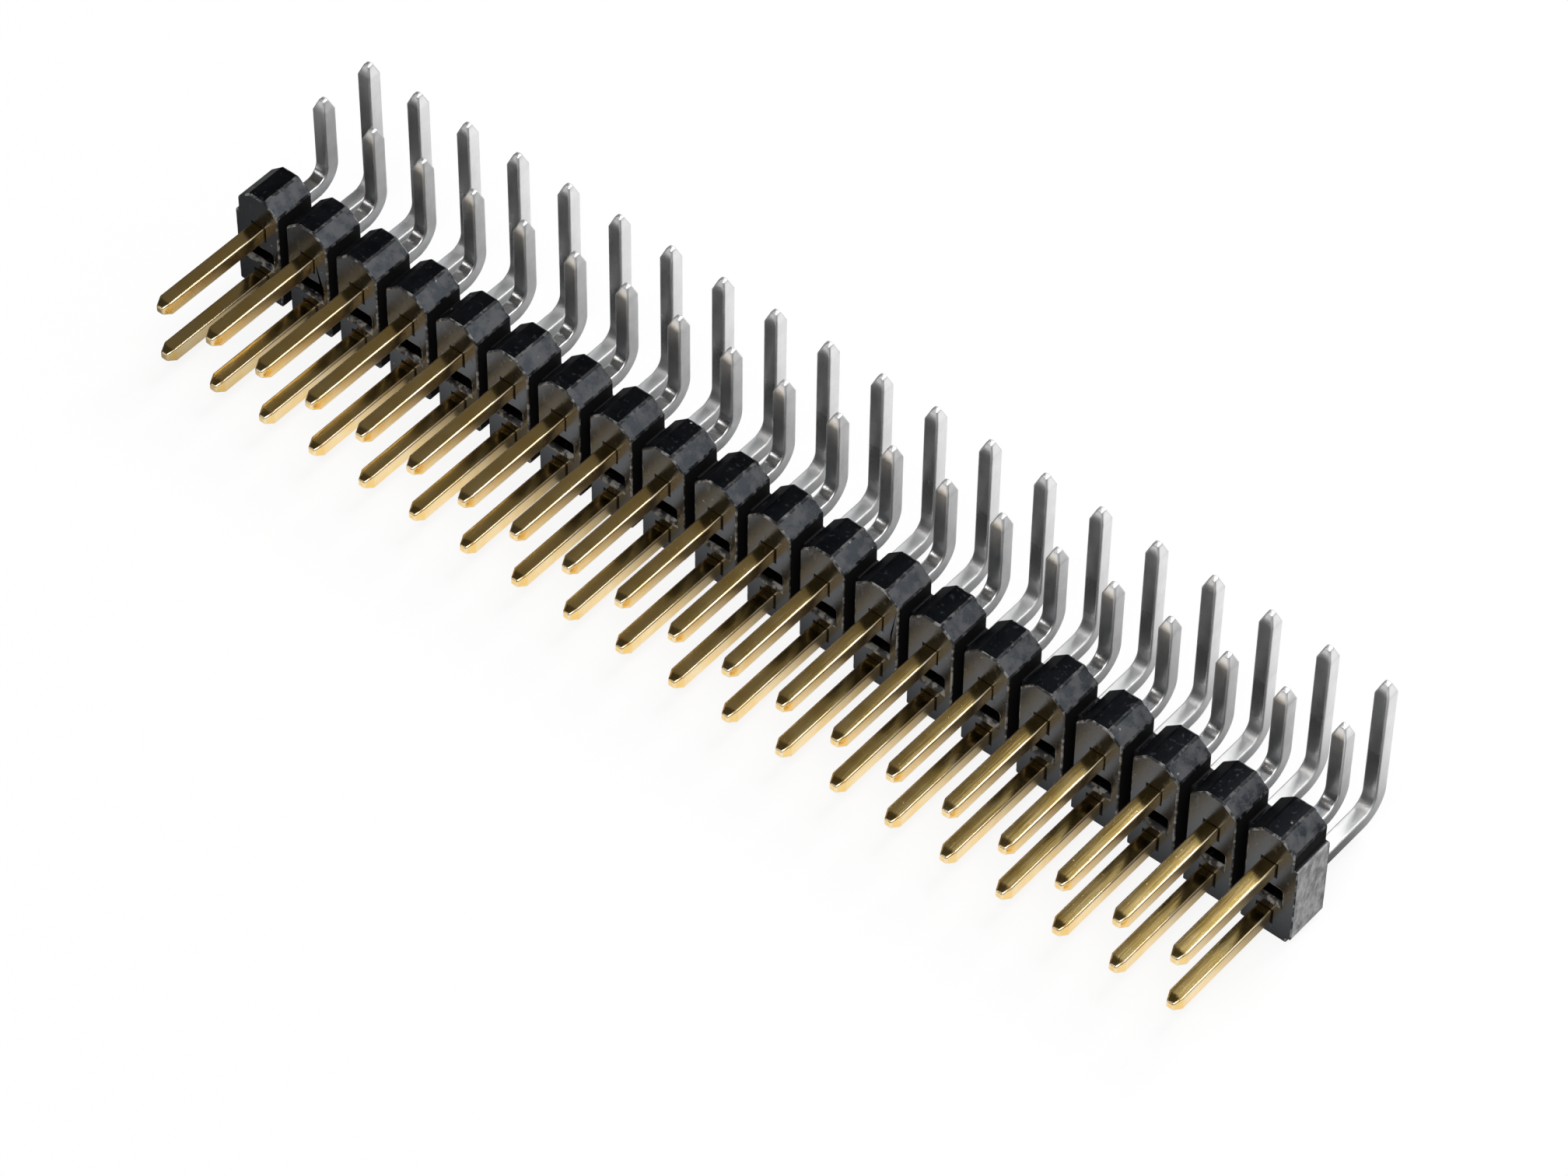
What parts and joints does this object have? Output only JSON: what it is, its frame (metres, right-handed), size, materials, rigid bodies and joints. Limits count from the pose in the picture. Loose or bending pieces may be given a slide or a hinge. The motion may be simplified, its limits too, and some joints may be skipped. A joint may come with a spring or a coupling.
{
  "type": "pin header strip",
  "caption": "Right-angle pin header strip: two rows of bent square pins pressed through a black snap-off insulator, with gold mating ends and tinned solder tails.",
  "frame": {"origin": "middle of the part's outline seen from above, level with the insulator's flat underside", "axes": "+X along the rows, -Y the way the mating pins point, +Z the way the solder tails point (towards the board)"},
  "size_m": [0.0506, 0.0122, 0.0077],
  "materials": {
    "insulator": "moulded black plastic with a satin surface, paler where the end webs were snapped",
    "pins": "bright square wire, gold-plated on the mating half and tinned on the solder half"
  },
  "bodies": {
    "root": {"insulator": "insulator", "upper_pin_01": "pins", "upper_pin_02": "pins", "upper_pin_03": "pins", "upper_pin_04": "pins", "upper_pin_05": "pins", "upper_pin_06": "pins", "upper_pin_07": "pins", "upper_pin_08": "pins", "upper_pin_09": "pins", "upper_pin_10": "pins", "upper_pin_11": "pins", "upper_pin_12": "pins", "upper_pin_13": "pins", "upper_pin_14": "pins", "upper_pin_15": "pins", "upper_pin_16": "pins", "upper_pin_17": "pins", "upper_pin_18": "pins", "upper_pin_19": "pins", "upper_pin_20": "pins", "lower_pin_01": "pins", "lower_pin_02": "pins", "lower_pin_03": "pins", "lower_pin_04": "pins", "lower_pin_05": "pins", "lower_pin_06": "pins", "lower_pin_07": "pins", "lower_pin_08": "pins", "lower_pin_09": "pins", "lower_pin_10": "pins", "lower_pin_11": "pins", "lower_pin_12": "pins", "lower_pin_13": "pins", "lower_pin_14": "pins", "lower_pin_15": "pins", "lower_pin_16": "pins", "lower_pin_17": "pins", "lower_pin_18": "pins", "lower_pin_19": "pins", "lower_pin_20": "pins"}
  },
  "joints": []
}
